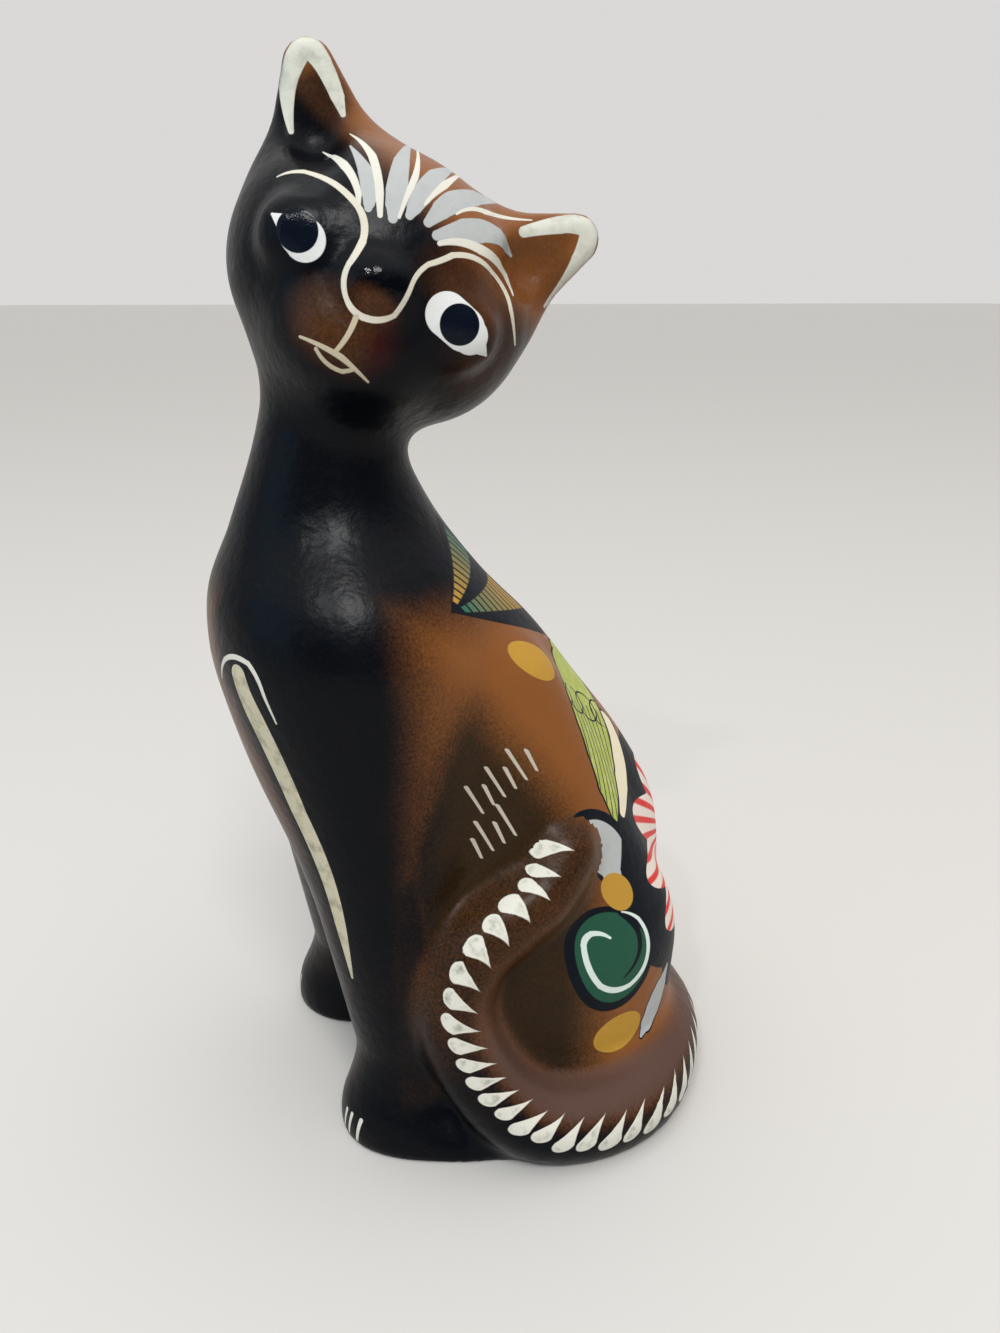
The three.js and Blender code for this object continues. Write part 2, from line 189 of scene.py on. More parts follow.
def in_batches(form, p, size=200000):
    return np.concatenate([form(p[i:i + size]) for i in range(0, len(p), size)])


# The surface is found on a fine grid, worked out only where a coarse one comes near it
def fine_grid(low, high, step, coarse=4, reach=1.9):
    counts = (np.ceil((high - low) / (step * coarse)).astype(int)) * coarse + 1
    axes = [low[i] + step * np.arange(counts[i]) for i in range(3)]
    rough = np.stack(np.meshgrid(*[a[::coarse] for a in axes], indexing="ij"), -1)
    guess = in_batches(solid, rough.reshape(-1, 3)).reshape(rough.shape[:3])
    values = np.repeat(np.repeat(np.repeat(guess, coarse, 0), coarse, 1), coarse, 2)
    values = values[:counts[0], :counts[1], :counts[2]]
    near = np.argwhere(np.abs(values) < step * coarse * reach)
    points = np.stack([axes[i][near[:, i]] for i in range(3)], 1)
    values[tuple(near.T)] = in_batches(solid, points)
    return values


def surface_nets(low, step, values):
    counts = np.array(values.shape)
    inside = values < 0
    corners = [(i, j, k) for i in (0, 1) for j in (0, 1) for k in (0, 1)]
    part = lambda a, o: a[o[0]:counts[0] - 1 + o[0], o[1]:counts[1] - 1 + o[1], o[2]:counts[2] - 1 + o[2]]
    total = sum(part(inside, o).astype(np.int8) for o in corners)
    crossed = (total > 0) & (total < 8)
    number = -np.ones(crossed.shape, int)
    number[crossed] = np.arange(crossed.sum())
    cells = np.argwhere(crossed)
    place, weight = np.zeros((len(cells), 3)), np.zeros(len(cells))
    for start in corners:
        for axis in range(3):
            if start[axis]:
                continue
            end = np.array(start)
            end[axis] = 1
            a, b = values[tuple((cells + start).T)], values[tuple((cells + end).T)]
            cut = (a < 0) != (b < 0)
            share = np.where(cut, a / np.where(cut, a - b, 1), 0)
            at = np.array(start, float) + share[:, None] * (end - np.array(start))
            place[cut] += at[cut]
            weight[cut] += 1
    points = low + (cells + place / weight[:, None]) * step
    quads = []
    for axis in range(3):
        u, v = (axis + 1) % 3, (axis + 2) % 3
        ahead = np.roll(inside, -1, axis)
        edges = np.argwhere(inside != ahead)
        edges = edges[(edges.min(1) > 0) & (edges < counts - 1).all(1)]
        ring = []
        for du, dv in ((0, 0), (1, 0), (1, 1), (0, 1)):
            back = edges.copy()
            back[:, u] -= du
            back[:, v] -= dv
            ring.append(number[tuple(back.T)])
        ring = np.stack(ring, 1)
        turned = ~inside[tuple(edges.T)]
        ring[turned] = ring[turned][:, ::-1]
        quads.append(ring)
    return points, np.concatenate(quads)


low, high = np.array([-61.0, -78.0, -5.0]), np.array([72.0, 64.0, 262.0])
points, quads = surface_nets(low, GRID_STEP, fine_grid(low, high, GRID_STEP))
# Each point is then drawn onto the true surface along its slope, never far in one round
PROBE, LARGEST_MOVE, LEAST_SLOPE = 0.35, 0.6, 0.2
for _ in range(2):
    slope = np.stack([
        in_batches(solid, points + PROBE * way) - in_batches(solid, points - PROBE * way) for way in np.eye(3)], 1)
    slope /= 2 * PROBE
    move = in_batches(solid, points) / np.maximum((slope**2).sum(1), LEAST_SLOPE)
    points -= slope * np.clip(move, -LARGEST_MOVE, LARGEST_MOVE)[:, None]

# The airbrushed coat of thin slip paint: how black, how olive and how crimson each place is over an
# orange brown. It is sprayed along the forms before the brushwork, dark down the chest and face and
# bright along the ridges. Every ramp and spot below is in millimetres.


def ramp(value, start, end):
    """From 0 at the start to 1 at the end, softly."""
    t = np.clip((value - start) / (end - start), 0, 1)
    return t * t * (3 - 2 * t)


def spot(u, v, at, radii, fade):
    """An oval dab of the spray gun: 1 inside, fading over a share of its radii."""
    return 1 - ramp(np.hypot((u - at[0]) / radii[0], (v - at[1]) / radii[1]), 1 - fade, 1 + fade)


# Distance round the body from the spine at each height, as a tape laid round it would read
TAPE_TOP, ROWS, COLUMNS, FARTHEST = 190, 76, 180, 90.0
heights, angles = np.linspace(0, TAPE_TOP, ROWS + 1), np.linspace(-math.pi, math.pi, COLUMNS + 1)
zz, aa = (grid.ravel() for grid in np.meshgrid(heights, angles, indexing="ij"))
middle = (torso_measure(zz, TORSO_FRONT) + torso_measure(zz, TORSO_BACK)) / 2
start = np.stack([0 * zz, middle, zz], 1)
way = np.stack([np.sin(aa), np.cos(aa), 0 * zz], 1)
inner, outer = np.zeros(len(zz)), np.full(len(zz), FARTHEST)
for _ in range(14):
    half = (inner + outer) / 2
    within = body(start + way * half[:, None]) < 0
    inner, outer = np.where(within, half, inner), np.where(within, outer, half)
radius = inner.reshape(ROWS + 1, COLUMNS + 1)
tape = np.zeros_like(radius)
tape[:, 1:] = np.cumsum((radius[:, 1:] + radius[:, :-1]) / 2 * (angles[1] - angles[0]), 1)
tape -= tape[:, COLUMNS // 2:COLUMNS // 2 + 1]
x, y, z = points.T
middle = (torso_measure(z, TORSO_FRONT) + torso_measure(z, TORSO_BACK)) / 2
row = np.clip(z / TAPE_TOP * ROWS, 0, ROWS - 0.001)
column = np.clip((np.arctan2(x, y - middle) + math.pi) / (2 * math.pi) * COLUMNS, 0, COLUMNS - 0.001)
i, j = row.astype(int), column.astype(int)
fi, fj = row - i, column - j
round_body = (tape[i, j] * (1 - fj) + tape[i, j + 1] * fj) * (1 - fi)
round_body += (tape[i + 1, j] * (1 - fj) + tape[i + 1, j + 1] * fj) * fi

# Distance along the tail and across it, from its outer side towards the inside of the curl
CURL_MIDDLE, CURL_DEPTH = np.array([0, 10, 0]), 0.35
TAIL_PAINT_REACH, OFF_TAIL = 6, -20.0
fine_line = spline(TAIL, 12)
line_length = np.r_[0, np.cumsum(np.linalg.norm(np.diff(fine_line[:, :3], axis=0), axis=1))]
line_way = np.gradient(fine_line[:, :3], axis=0)
line_way /= np.linalg.norm(line_way, axis=1)[:, None]
near_tail = in_batches(tail, points)
on_tail = near_tail < TAIL_PAINT_REACH
spots = points[on_tail]
nearest = np.concatenate([
    ((spots[n:n + 5000, None] - fine_line[None, :, :3]) ** 2).sum(-1).argmin(1) for n in range(0, len(spots), 5000)])
along = line_way[nearest]
away = spots - fine_line[nearest, :3]
out = fine_line[nearest, :3] - CURL_MIDDLE
out[:, 2] = 0
out[:, 1] *= np.where(out[:, 1] < 0, CURL_DEPTH, 1)
out -= along * (out * along).sum(1)[:, None]
out /= np.linalg.norm(out, axis=1)[:, None]
inward = np.cross(along, out)
tail_run, tail_across = np.zeros(len(points)), np.full(len(points), OFF_TAIL)
tail_run[on_tail] = line_length[nearest] + (away * along).sum(1)
tail_across[on_tail] = np.arctan2((away * inward).sum(1), (away * out).sum(1)) * fine_line[nearest, 3]

# body: black over the neck, down the front and over the paws, brown along the ridges and the crease
# before the haunch, olive on the haunch and in the hollow of the tail's curl
neck = ramp(z, 127, 146)
crease = np.interp(z, [60, 77, 105, 130, 150], [-30, -32, -29, -20, -14])
leaf_line = np.interp(z, [0, 48, 68, 94, 118, 135], [27, 28, 27, 22, 14, 8])
black = ramp(y, -18, -41)
black *= 1 - 0.5 * ramp(leaf_line - np.abs(x), -3, 7) * ramp(-y, 26, 40)
black = np.maximum(black, 0.98 * ramp(z, 106, 72) * (1 - ramp(y - crease, -3, 3)))
black = np.maximum(black, neck)
black = np.maximum(black, ramp(z, 26, 13) * (1 - ramp(y, -12, 16)))
olive_from = np.interp(z, [45, 78, 118, 135], [60, 44, 43, 52])
olive = 0.97 * ramp(np.abs(round_body), olive_from, olive_from + 20)
olive *= ramp(y - crease, -5, np.interp(z, [85, 118], [0, 12]))
crimson = 0.35 * ramp(y, -20, -34) * (1 - ramp(y, -48, -38)) * ramp(z, 40, 70) * (1 - ramp(z, 110, 140))
# head: black face, orange crown, brown muzzle with crimson on its left side, and painted shade in the hollows of the
# ears
a, b, c = ((points - HEAD_AT) @ HEAD_WAYS.T).T
on_head = ramp(z, 172, 184) * (near_tail > 6)
tilted = b + 0.28 * a
face_black = 1 - ramp(tilted, 15, 25)
front = ramp(c, 6, 16)
face_black *= 1 - 0.37 * spot(a, b, (-2.5, -9.5), (10, 7.5), 0.45) * front
face_black *= 1 - 0.22 * spot(a, b, (17, 10), (10, 6), 0.6) * front
face_black *= 1 - 0.34 * spot(a, b, (1, -2.6), (4.5, 2.6), 0.5) * front
face_black *= 1 - 0.12 * spot(a, b, (27, 2), (8, 12), 0.6)
# painted shade: the hollows inside the ears are darkened on their front side, the left ear more than the right
hollow = spot(np.abs(a), b, (28, 23), (7.5, 11), 0.35) * ramp(c, -1, 3)
face_black = np.maximum(face_black, hollow * np.where(a < 0, 0.84, 0.35))
face_crimson = front * np.maximum(
    0.85 * spot(a, b, (7.6, -9), (4.2, 7.5), 0.55), 0.6 * spot(a, b, (1, -20.5), (11, 4.5), 0.55))
face_olive = 0.42 * spot(a, b, (-2.5, -10), (12, 9), 0.3) * front
black = black * (1 - on_head) + face_black * on_head
olive = olive * (1 - on_head) + face_olive * on_head
crimson = crimson * (1 - on_head) + face_crimson * on_head
# tail: black under the drops, brown along its crest, turning purplish towards the back
tail_share = 1 - ramp(near_tail, -0.5, 4)
low_run = 1 - ramp(tail_run, 118, 165)
tail_black = 1 - ramp(tail_across, 3.5 - 4 * (1 - low_run), 9 - 4 * (1 - low_run))
to_tip = ramp(tail_run, 124, 158)
black = black * (1 - tail_share) + tail_black * (1 - 0.55 * to_tip) * tail_share
olive = olive * (1 - tail_share) + (0.3 + 0.45 * to_tip) * tail_share
dusk = tail_share * low_run * (1 - tail_black)

least, most = (np.array(corner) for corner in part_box("cat_figurine"))
placed = least + (points - points.min(0)) * ((most - least) / np.ptp(points, axis=0))
mesh = bpy.data.meshes.new("clay_cat")
mesh.from_pydata(placed.tolist(), [], quads.tolist())
mesh.validate()
mesh.shade_smooth()


def keep(name, *columns):
    layer = mesh.attributes.new(name, "FLOAT_VECTOR", "POINT")
    layer.data.foreach_set("vector", np.stack(columns, 1).astype(np.float32).ravel())


# The drops on the tail lean and slide along it: across starts at the round end of each drop
DROP_LENGTH = 6.6
drop_start = np.interp(
    tail_run, [60, 105, 128, 140, 150, 160, 176, 190], [0.6, 2.2, 0.8, -0.6, -3.8, -6, -9, -10])
drop_lean = np.interp(tail_run, [60, 130, 150, 160, 175, 190], [-3.4, -3.0, -0.6, 0.6, 3, 5])
drop_across = (tail_across - drop_start) / DROP_LENGTH
drop_run = tail_run - drop_lean * drop_across
keep("place", x, y, z)
keep("face", a, b, c)
keep("wrap", round_body, z, 0 * z)
keep("drops", drop_run, drop_across, near_tail)
keep("coat", black, olive, crimson)
keep("dusk", dusk, on_head, tail_share)

# Three paints: 0 on the body, 1 on the head, 2 on the tail
PAINTED_AS_TAIL = 2.5
quad_head = on_head[quads].mean(1) > 0.5
quad_tail = near_tail[quads].mean(1) < PAINTED_AS_TAIL
region = np.where(quad_head, 1, np.where(quad_tail, 2, 0))
mesh.polygons.foreach_set("material_index", region.astype(np.int32))
figurine = bpy.data.objects.new("clay_cat", mesh)
bpy.context.collection.objects.link(figurine)

# The paints: a satin airbrushed ground, and matt brushed colours laid over it by hand. Cream, grey,
# green, ochre and red are thick enough to stand slightly proud of the ground, and wear thin in places.
CREAM, BONE, COOL_GREY = (0.62, 0.60, 0.52), (0.46, 0.40, 0.28), (0.40, 0.41, 0.40)
ORANGE_BROWN, OLIVE, BLACK = (0.215, 0.076, 0.020), (0.020, 0.0115, 0.0045), (0.0012, 0.0020, 0.0035)
CRIMSON, DUSK = (0.080, 0.006, 0.005), (0.082, 0.045, 0.035)
GREEN, LEAF_GREEN, OCHRE = (0.016, 0.078, 0.045), (0.37, 0.42, 0.09), (0.44, 0.24, 0.035)
RED, INK, TEAL = (0.62, 0.035, 0.03), (0.002, 0.004, 0.008), (0.022, 0.130, 0.090)
SPECULAR = 0.1
BUMP_STRENGTH, BUMP_DISTANCE = 0.5, 0.00018
# how close the patterns are, per millimetre, and how wide a brushed edge is in millimetres
SPATTER, CLOUD, PEEL, BRISTLE, SATIN_CHANGE, WEAR = 1.5, 0.07, 0.32, 2.6, 0.12, 0.35
EDGE = 0.16


class Wire:
    """A shader socket on which sums are written as Python expressions."""

    def __init__(self, paint, socket):
        self.paint, self.socket = paint, socket

    def sum(self, kind, *values):
        return self.paint.node("ShaderNodeMath", {"operation": kind}, dict(enumerate(values)))

    def __add__(self, other): return self.sum("ADD", self, other)
    def __radd__(self, other): return self.sum("ADD", other, self)
    def __sub__(self, other): return self.sum("SUBTRACT", self, other)
    def __rsub__(self, other): return self.sum("SUBTRACT", other, self)
    def __mul__(self, other): return self.sum("MULTIPLY", self, other)
    def __rmul__(self, other): return self.sum("MULTIPLY", other, self)
    def __truediv__(self, other): return self.sum("DIVIDE", self, other)
    def __pow__(self, other): return self.sum("POWER", self, other)
    def least(self, other): return self.sum("MINIMUM", self, other)
    def most(self, other): return self.sum("MAXIMUM", self, other)
    def size(self): return self.sum("ABSOLUTE", self)
    def part(self): return self.sum("FRACT", self)
    def held(self): return self.paint.node("ShaderNodeClamp", {}, {0: self})
    def below(self, edge=EDGE): return self.sum("MULTIPLY_ADD", self, -1 / edge, 0.5).held()


def bows(path, slack=0.12):
    """A stroke's smooth path as few shallow bows: two ends with the brush's half width there, and the rise."""
    line, first, made = spline(path, 6), 0, []
    while first < len(line) - 1:
        for last in range(len(line) - 1, first, -1):
            (x0, y0, r0), (x1, y1, r1) = line[first], line[last]
            between, long = line[first:last + 1], math.hypot(x1 - x0, y1 - y0)
            t = ((between[:, 0] - x0) * (x1 - x0) + (between[:, 1] - y0) * (y1 - y0)) / long**2
            side = ((between[:, 1] - y0) * (x1 - x0) - (between[:, 0] - x0) * (y1 - y0)) / long
            bend = 4 * t * (1 - t)
            rise = (side * bend).sum() / max((bend * bend).sum(), 1e-9)
            miss = max(np.abs(side - rise * bend).max(), np.abs(between[:, 2] - r0 - t * (r1 - r0)).max())
            if last == first + 1 or (miss < slack and abs(rise) < 0.13 * long and np.diff(t).min() > 0):
                break
        made.append((x0, y0, r0, x1, y1, r1, rise))
        first = last
    return made


class Nodes:
    """One tree of nodes, and the single way in which they are added to it."""

    def __init__(self, tree):
        self.nodes, self.links = tree.nodes, tree.links

    def node(self, kind, settings={}, sockets={}, output=0):
        made = self.nodes.new(kind)
        for name, value in settings.items():
            setattr(made, name, value)
        for name, value in sockets.items():
            if isinstance(value, Wire):
                self.links.new(value.socket, made.inputs[name])
            else:
                made.inputs[name].default_value = value
        return Wire(self, made.outputs[output])

    def vector(self, kind, sockets, output=0):
        given = {n: v if isinstance(v, Wire) else np.broadcast_to(v, 3).tolist() for n, v in sockets.items()}
        return self.node("ShaderNodeVectorMath", {"operation": kind}, given, output)

    def mixed(self, under, over, share):
        colour = lambda c: c if isinstance(c, Wire) else (*c, 1)
        return self.node("ShaderNodeMix", {"data_type": "RGBA"}, {0: share, 6: colour(under), 7: colour(over)}, 2)


class Paint(Nodes):
    """One painted material of the figurine."""

    def __init__(self, name):
        self.material = bpy.data.materials.new(name)
        self.material.use_nodes = True
        super().__init__(self.material.node_tree)
        self.shader = self.nodes["Principled BSDF"]

    def stored(self, name):
        return self.node("ShaderNodeAttribute", {"attribute_name": name}, output="Vector")

    def split(self, vector):
        made = self.node("ShaderNodeSeparateXYZ", sockets={0: vector})
        return [Wire(self, socket) for socket in made.socket.node.outputs]

    def join(self, x, y, z=0.0):
        return self.node("ShaderNodeCombineXYZ", sockets={0: x, 1: y, 2: z})

    def noise(self, vector, scale, detail=2.0):
        return self.node("ShaderNodeTexNoise", {}, {"Vector": vector, "Scale": scale, "Detail": detail})

    def strokes(self, at, *paths):
        """Distance to brush strokes, near enough at their edges: three of their bows in each vector."""
        across, up, _ = self.split(at)
        xs, ys = self.join(across, across, across), self.join(up, up, up)
        cuts = [bow for path in paths for bow in bows(path)]
        cuts += cuts[-1:] * (-len(cuts) % 3)
        edges = []
        for n in range(0, len(cuts), 3):
            x0, y0, r0, x1, y1, r1, rise = np.array(cuts[n:n + 3]).T
            dx, dy, long = x1 - x0, y1 - y0, np.hypot(x1 - x0, y1 - y0)
            run = self.vector("MULTIPLY_ADD", {0: ys, 1: dy / long**2, 2: -(x0 * dx + y0 * dy) / long**2})
            run = self.vector("MULTIPLY_ADD", {0: xs, 1: dx / long**2, 2: run})
            side = self.vector("MULTIPLY_ADD", {0: ys, 1: dx / long, 2: (x0 * dy - y0 * dx) / long})
            side = self.vector("MULTIPLY_ADD", {0: xs, 1: -dy / long, 2: side})
            held = self.vector("MINIMUM", {0: self.vector("MAXIMUM", {0: run, 1: 0}), 1: 1})
            bend = self.vector("MULTIPLY", {0: held, 1: self.vector("SUBTRACT", {0: 1, 1: held})})
            side = self.vector("MULTIPLY_ADD", {0: bend, 1: -4 * rise, 2: side})
            past = self.vector("MULTIPLY", {0: self.vector("SUBTRACT", {0: run, 1: held}), 1: long})
            far = self.vector("MULTIPLY_ADD", {0: past, 1: past, 2: self.vector("MULTIPLY", {0: side, 1: side})})
            half = self.vector("MULTIPLY_ADD", {0: held, 1: r1 - r0, 2: r0})
            edges.append(self.vector("SUBTRACT", {0: self.vector("DIVIDE", {0: far, 1: half}), 1: half}))
        a, b, c = self.split(reduce(lambda one, other: self.vector("MINIMUM", {0: one, 1: other}), edges))
        return a.least(b).least(c) * 0.5

    def oval(self, at, middle, radii):
        """Distance to an oval dab, near enough at its edge."""
        away = self.vector("SUBTRACT", {0: at, 1: (*middle, 0)})
        away = self.vector("DIVIDE", {0: away, 1: (*radii, 1)})
        return (self.vector("LENGTH", {0: away}, 1) - 1) * min(radii)

    def ground(self, grain=1.0):
        """The airbrushed coat with the fine spatter of the gun."""
        place = self.stored("place")
        black, olive, crimson = self.split(self.stored("coat"))
        dusk = self.split(self.stored("dusk"))[0]
        spatter = (self.noise(place, SPATTER, 3.0) - 0.5) * grain
        cloud = self.noise(place, CLOUD) - 0.5
        soft = lambda share, k: (share + (spatter * k + cloud * 0.30) * (share * (1 - share) * 4 + 0.12)).held()
        colour = self.mixed(ORANGE_BROWN, OLIVE, soft(olive, 0.75))
        colour = self.mixed(colour, DUSK, dusk)
        colour = self.mixed(colour, CRIMSON, crimson)
        colour = self.mixed(colour, BLACK, soft(black, 0.7))
        return place, colour

    def finish(self, place, colour, painted, gloss=None):
        """Satin gloss, orange peel of the ground and the thickness of the brushed paint."""
        height = self.noise(place, PEEL, 4.0) * 2.6 + painted * (self.noise(place, BRISTLE) * 0.5 + 1.1)
        bump = self.node(
            "ShaderNodeBump", {}, {"Strength": BUMP_STRENGTH, "Distance": BUMP_DISTANCE, "Height": height})
        rough = self.noise(place, SATIN_CHANGE) * 0.14 + 0.24 + painted * 0.12
        if gloss is not None:
            rough = rough * (1 - gloss * 0.72)
        self.links.new(colour.socket, self.shader.inputs["Base Color"])
        self.links.new(rough.socket, self.shader.inputs["Roughness"])
        self.links.new(bump.socket, self.shader.inputs["Normal"])
        self.shader.inputs["Specular IOR Level"].default_value = SPECULAR
        mesh.materials.append(self.material)

    def worn(self, place, colour, thin, amount=0.55):
        """Thin brushed paint lets the dark ground show through unevenly."""
        share = ((self.noise(place, WEAR, 3.0) - 0.48) * 3.3).held() * amount
        return self.mixed(colour, thin, share)


# The body's brushwork: a leaf stroke and an arch down each front leg, toe lines, and the folk painting
# on the back and flanks, all brushed on by hand. A stroke is its marks, each with the half width there.
LEG_CREAM, LEG_SHOWS_THROUGH, DAB_BUFF = (0.54, 0.49, 0.35), (0.17, 0.15, 0.09), (0.46, 0.41, 0.33)
PETAL_WHITE, FEATHER_CREAM, SPIRAL_WHITE = (0.72, 0.62, 0.55), (0.74, 0.66, 0.48), (0.62, 0.70, 0.64)
THIN_LEAF_GREEN, THIN_GREY = (0.66, 0.66, 0.34), (0.36, 0.37, 0.36)
CHEST_ENDS = -22
body_paint = Paint("painted_body")
place, colour = body_paint.ground()
px, py, pz = body_paint.split(place)
ahead = body_paint.join(px.size(), pz)
facing = (py - CHEST_ENDS).below(3)
LEG_LEAF = [(19, 125.5, 2.6), (21, 118.4, 3.0), (24.5, 106.4, 2.8), (26.9, 93.6, 2.4), (29.6, 81.7, 2.1),
            (30.9, 68.2, 1.7), (31.4, 56.9, 1.1), (31.5, 48.5, 0.3)]
LEG_ARCH = [(9, 121.9, 0.3), (12, 126.6, 0.55), (16.6, 129.3, 0.7), (22.6, 129.3, 0.65), (25.8, 124.8, 0.5),
            (27.8, 116.5, 0.2)]
TOES = [[(x, 7 + 0.4 * n, 0.55), (x - 0.5, 1.4, 0.4)] for n, x in enumerate((29.4, 32, 35.4))]
leaf_mask = body_paint.strokes(ahead, LEG_LEAF).below() * facing
painted = leaf_mask.most(body_paint.strokes(ahead, LEG_ARCH, *TOES).below() * facing)
tint = body_paint.mixed(CREAM, body_paint.worn(place, LEG_CREAM, LEG_SHOWS_THROUGH, 0.7), leaf_mask)
colour = body_paint.mixed(colour, tint, painted)

round_at = body_paint.stored("wrap")
wu, wv, _ = body_paint.split(round_at)
back_at = body_paint.join(wu.size(), wv)
mu, mv, _ = body_paint.split(back_at)


def lay(colour, painted, tint, near, edge=EDGE):
    """One more paint over the rest, wherever near is below nought."""
    mask = near.below(edge)
    return body_paint.mixed(colour, tint, mask), painted.most(mask)


# striped flower low on the back, on a dark ground
FLOWER, PETALS, FLOWER_WIDTH = (0, 54), 12, 0.68
GROUND_LOBES = [(30, 72, 8), (41, 64, 7), (46, 53, 4)]
fu, fv = (mu - FLOWER[0]) * FLOWER_WIDTH, mv - FLOWER[1]
turn = fu.sum("ARCTAN2", fv, fu)
far = (fu * fu + fv * fv) ** 0.5
scallop = turn.sum("SINE", turn * (PETALS / 2)).size()
colour, painted = lay(colour, painted, INK, far - 36 - scallop * 2.5)
colour, painted = lay(colour, painted, INK, body_paint.strokes(back_at, GROUND_LOBES))
rays = (turn.sum("SINE", turn * (PETALS * 3)) * 0.5 + 0.5 - far * 0.012) * 1.5
petals = body_paint.mixed(PETAL_WHITE, RED, (rays * 2.6 - 0.9).most(0.0).least(1.0))
colour, painted = lay(colour, painted, petals, far - 23 - scallop * 7)
colour, painted = lay(colour, painted, INK, far - 9.5)
colour, painted = lay(colour, painted, OCHRE, far - 8)
colour, painted = lay(colour, painted, INK, far.sum("SUBTRACT", far, 4.6).size() - 0.5)

# pair of striped fans over the shoulders
FAN_TIP, FAN_REACH, RUNG_PITCH = (38.5, 138.4), 32, 2.5
fan_u, fan_v = FAN_TIP[0] - mu, mv - FAN_TIP[1]
lean = fan_v.sum("ARCTAN2", fan_v, fan_u)
reach = (fan_u * fan_u + fan_v * fan_v) ** 0.5
wedge = ((lean - 0.02).size() - 0.53) * reach
colour, painted = lay(colour, painted, INK, wedge.most(reach - (FAN_REACH + 2)))
rungs = ((reach / RUNG_PITCH).part() - 0.5).size() - 0.14
for middle, half, tints in ((0.37, 0.115, (OCHRE, TEAL)), (-0.115, 0.155, (TEAL, OCHRE))):
    fan = (((lean - middle).size() - half) * reach).most(reach - FAN_REACH).most(4 - reach)
    blend = ((lean - middle) / half * 0.5 + 0.5).sum("MULTIPLY_ADD", (reach - 14) / 14, 0.5, 0.35)
    band = body_paint.mixed(tints[0], tints[1], blend.most(0.0).least(1.0))
    colour, painted = lay(colour, painted, band, fan.most(rungs * -RUNG_PITCH), 0.3)

# cream feather, then the green feathered leaf over it
CREAM_FEATHER = [(14, 97, 3), (20, 91, 3.4), (28, 83.5, 3.2), (38, 79.3, 1.2)]
GREEN_FEATHER = [
    (9.5, 116, 4.5), (14.5, 111, 8), (20.5, 106, 8.8), (29, 95.7, 7.2), (37, 87, 4.2), (42.3, 80, 0.9)]
VEINS_FROM, VEINS_DOWN, VEIN_PITCH, VEIN_EDGE = (14, 112), (0.662, 0.749), 2.5, 0.22
near = body_paint.strokes(back_at, CREAM_FEATHER)
colour, painted = lay(colour, painted, INK, near - 0.7)
colour, painted = lay(colour, painted, FEATHER_CREAM, near)
near = body_paint.strokes(back_at, GREEN_FEATHER)
colour, painted = lay(colour, painted, INK, near - 0.75)
colour, painted = lay(colour, painted, body_paint.worn(place, LEAF_GREEN, THIN_LEAF_GREEN), near)
out, below = mu - VEINS_FROM[0], VEINS_FROM[1] - mv
down = out * VEINS_DOWN[0] + below * VEINS_DOWN[1]
across = out * VEINS_DOWN[1] - below * VEINS_DOWN[0]
vein = (((across * (1 + down * 0.012)) / VEIN_PITCH).part() - 0.5).size() * VEIN_PITCH - 0.24
colour, painted = lay(colour, painted, INK, vein.most(near + 0.1).most(9 - down), VEIN_EDGE)
for n in range(4):
    arc = body_paint.oval(back_at, (28.5 - 4.4 * n, 113.6 - 4.6 * n), (4.2, 4.2)).size() - 0.28
    colour, painted = lay(colour, painted, INK, arc.most(near + 0.1).most(5 - down).most(down - 14), VEIN_EDGE)

# dabs and discs beside the leaf
OCHRE_DABS, ROUND_DAB = (((30.5, 122.6), (5.9, 5.2)), ((62.3, 24.8), (7.8, 5.2))), ((54.9, 63.4), (4.8, 5.2))
GREY_PETAL_SHADOW, GREY_PETAL = [(51.5, 77, 9.3), (53.6, 70, 4.8)], [(53, 75.6, 8.3), (53.8, 68.5, 3)]
DISC_SHADOW, DISC = ((63.8, 47.1), (13.4, 14.6)), ((63.4, 47.4), (11, 12.6))
DISC_CRESCENT = [(57, 58, 0.9), (54.4, 53, 1.0), (55, 48, 0.9), (58, 43.6, 0.6), (62, 41, 0.2)]
for dab in OCHRE_DABS:
    colour, painted = lay(colour, painted, OCHRE, body_paint.oval(back_at, *dab))
colour, painted = lay(colour, painted, INK, body_paint.strokes(back_at, GREY_PETAL_SHADOW))
thin = body_paint.worn(place, COOL_GREY, THIN_GREY)
colour, painted = lay(colour, painted, thin, body_paint.strokes(back_at, GREY_PETAL))
colour, painted = lay(colour, painted, INK, body_paint.oval(back_at, *DISC_SHADOW))
colour, painted = lay(colour, painted, GREEN, body_paint.oval(back_at, *DISC))
colour, painted = lay(colour, painted, INK, body_paint.strokes(back_at, DISC_CRESCENT))
SPIRAL = [
    (63.1, 53.1, 0.4), (65.4, 55.1, 0.7), (67.9, 55.5, 0.8), (70.2, 54, 0.8), (71.4, 50.8, 0.85), (71.2, 45.1, 0.9),
    (69.3, 41.2, 0.85), (66.5, 39.1, 0.8), (63.2, 38, 0.8), (60, 38, 0.8), (57, 39.3, 0.8), (54.5, 41.5, 0.8),
    (52.8, 44.6, 0.75), (51.9, 47.9, 0.7), (51.8, 51, 0.65), (52.3, 54, 0.6), (54.2, 56.6, 0.5), (56.6, 58.2, 0.2)]
colour, painted = lay(colour, painted, SPIRAL_WHITE, body_paint.strokes(back_at, SPIRAL))
colour, painted = lay(colour, painted, OCHRE, body_paint.oval(back_at, *ROUND_DAB))
LEAF = [(54, 20, 0.5), (50.5, 23.5, 3.2), (46.5, 28.5, 3.9), (42.5, 34.5, 0.8)]
near = body_paint.strokes(back_at, LEAF)
colour, painted = lay(colour, painted, INK, near - 0.5)
colour, painted = lay(colour, painted, COOL_GREY, near)

